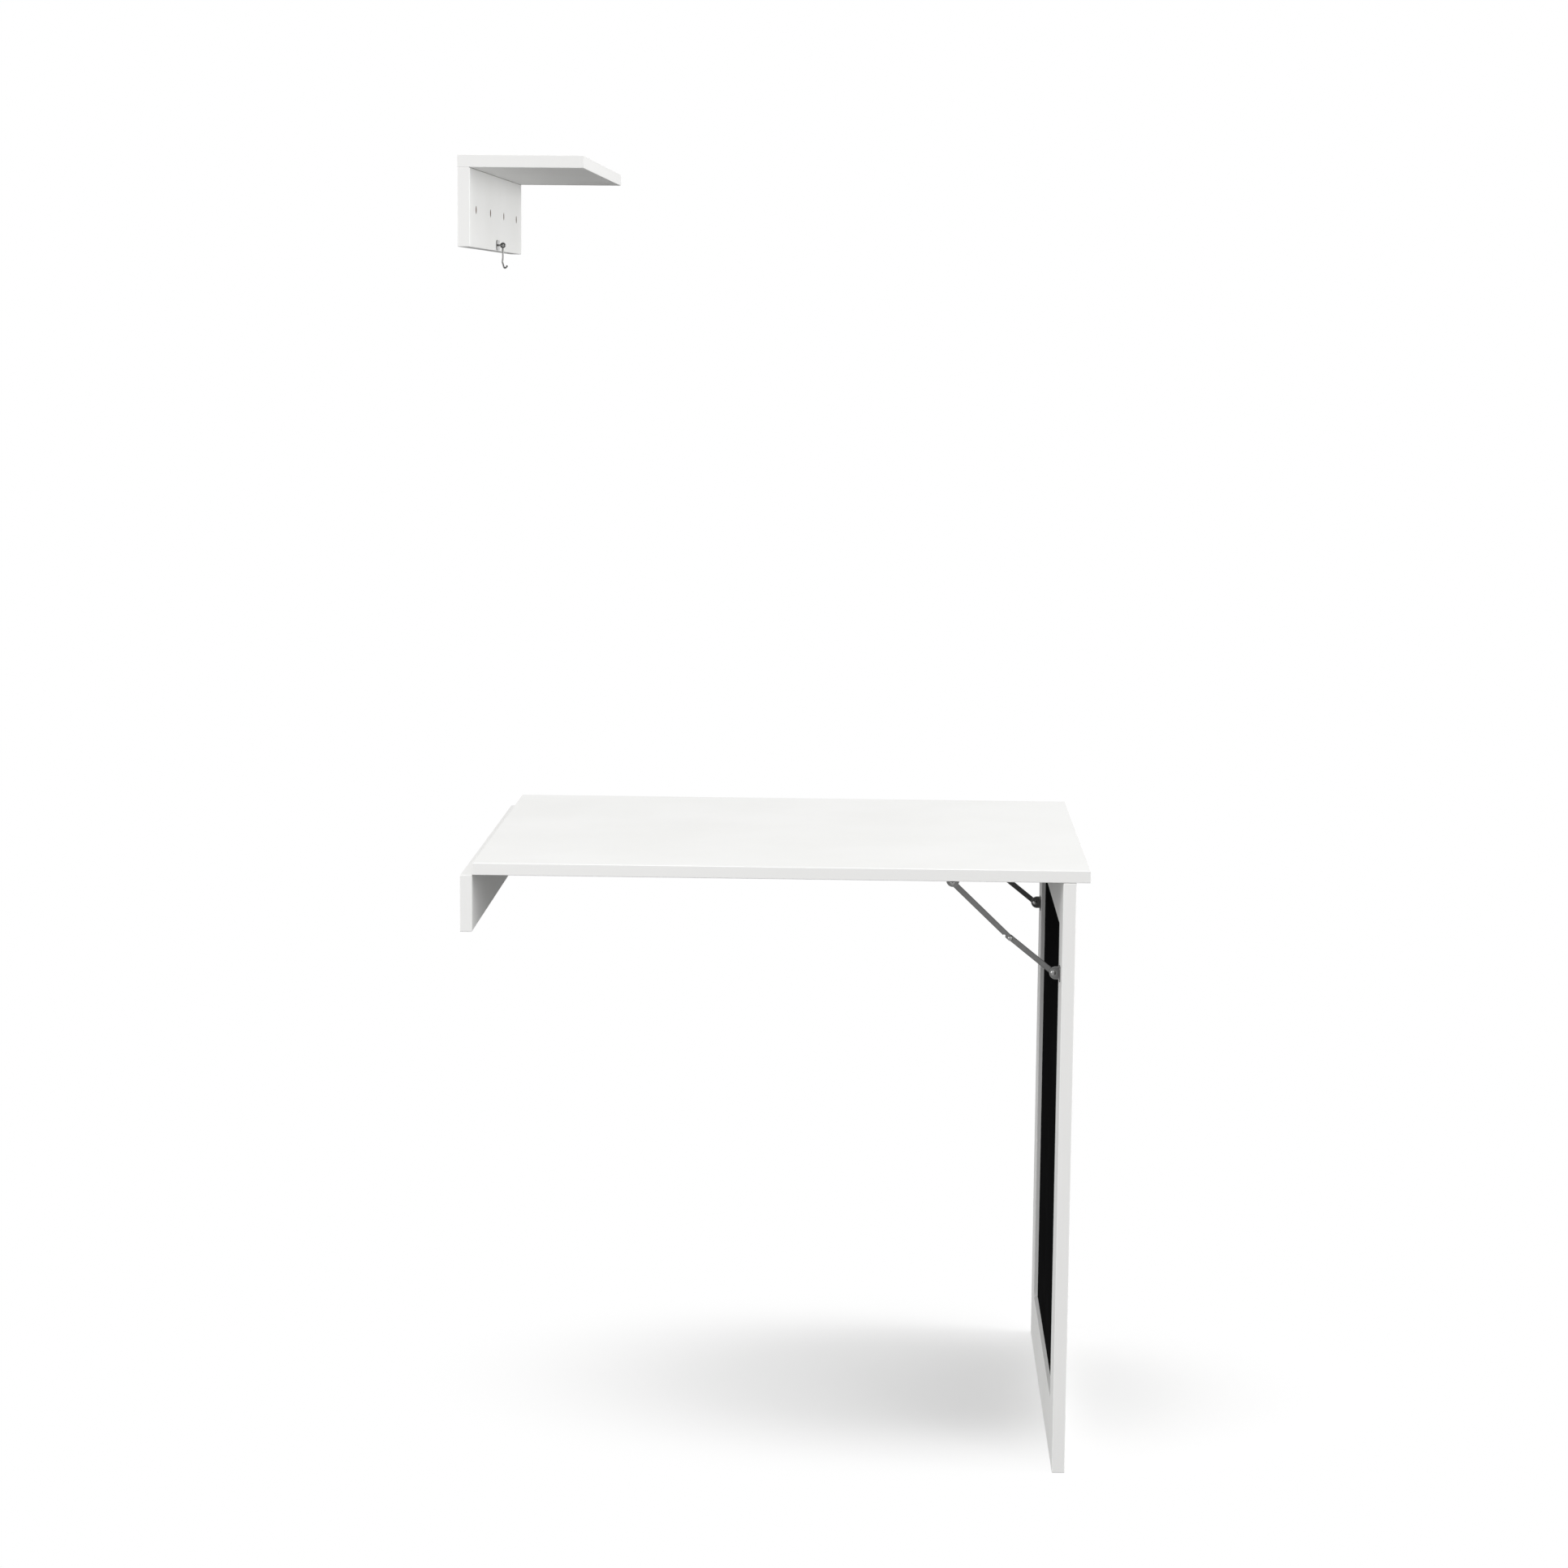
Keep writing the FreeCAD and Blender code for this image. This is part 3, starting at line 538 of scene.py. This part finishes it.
world = bpy.data.worlds.new("daylight")
sky = Finish(world)
ambient = sky.node("Background", {}, {"Color": WHITE, "Strength": DAYLIGHT})
backdrop = sky.node("Background", {}, {"Color": WHITE, "Strength": 1.0})
daylight = sky.node("MixShader", {}, {0: seen_directly(sky), 1: ambient, 2: backdrop})
sky.node("OutputWorld", {}, {"Surface": daylight})
bpy.context.scene.world = world


def soft_lamp(name, place, aim, size, power):
    data = bpy.data.lights.new(name, "AREA")
    data.shape = "DISK"
    data.size = size
    data.energy = power
    lamp = bpy.data.objects.new(name, data)
    lamp.location = place
    lamp.rotation_euler = (Vector(aim) - Vector(place)).to_track_quat("-Z", "Y").to_euler()
    bpy.context.scene.collection.objects.link(lamp)


soft_lamp("front", (0.5, -3.4, 2.0), TABLE_MIDDLE, 1.8, 14)
soft_lamp("right", (5.0, -0.5, 0.9), TABLE_MIDDLE, 2.2, 96)
soft_lamp("front_right", (3.2, -3.2, 0.6), (0.2, 0.0, 0.1), 1.6, 18)
soft_lamp("left", (-2.2, -2.2, 0.9), LEG_MIDDLE, 1.6, 28)
soft_lamp("left_low", (-2.6, -1.6, -0.1), LEG_MIDDLE, 1.1, 11)


# ---- Camera ------------------------------------------------------------------------------------------------------
# A long lens 4.2 m in front of the table's near side, 1.4 m above the floor and looking slightly down. It has no
# shift, so that views from other sides are framed as well.

CAMERA_PLACE = Vector((0.5005, -4.4695, 0.7218))
CAMERA_DOWN = 7.786
CAMERA_LEFT = 1.474
CAMERA_LEAN = 0.532
CAMERA_LENS = 80.06
CAMERA_SENSOR = 36
FAR_CLIP = 200

camera_data = bpy.data.cameras.new("camera")
camera_data.lens = CAMERA_LENS
camera_data.sensor_width = CAMERA_SENSOR
camera_data.clip_end = FAR_CLIP
camera = bpy.data.objects.new("camera", camera_data)
camera.location = CAMERA_PLACE
down = math.radians(CAMERA_DOWN)
left = math.radians(CAMERA_LEFT)
ahead = Vector((-math.sin(left) * math.cos(down), math.cos(left) * math.cos(down), -math.sin(down)))
camera.rotation_mode = "QUATERNION"
camera.rotation_quaternion = ahead.to_track_quat("-Z", "Y") @ Quaternion((0, 0, 1), math.radians(CAMERA_LEAN))
bpy.context.scene.collection.objects.link(camera)
bpy.context.scene.camera = camera
bpy.context.scene.view_settings.view_transform = "Standard"
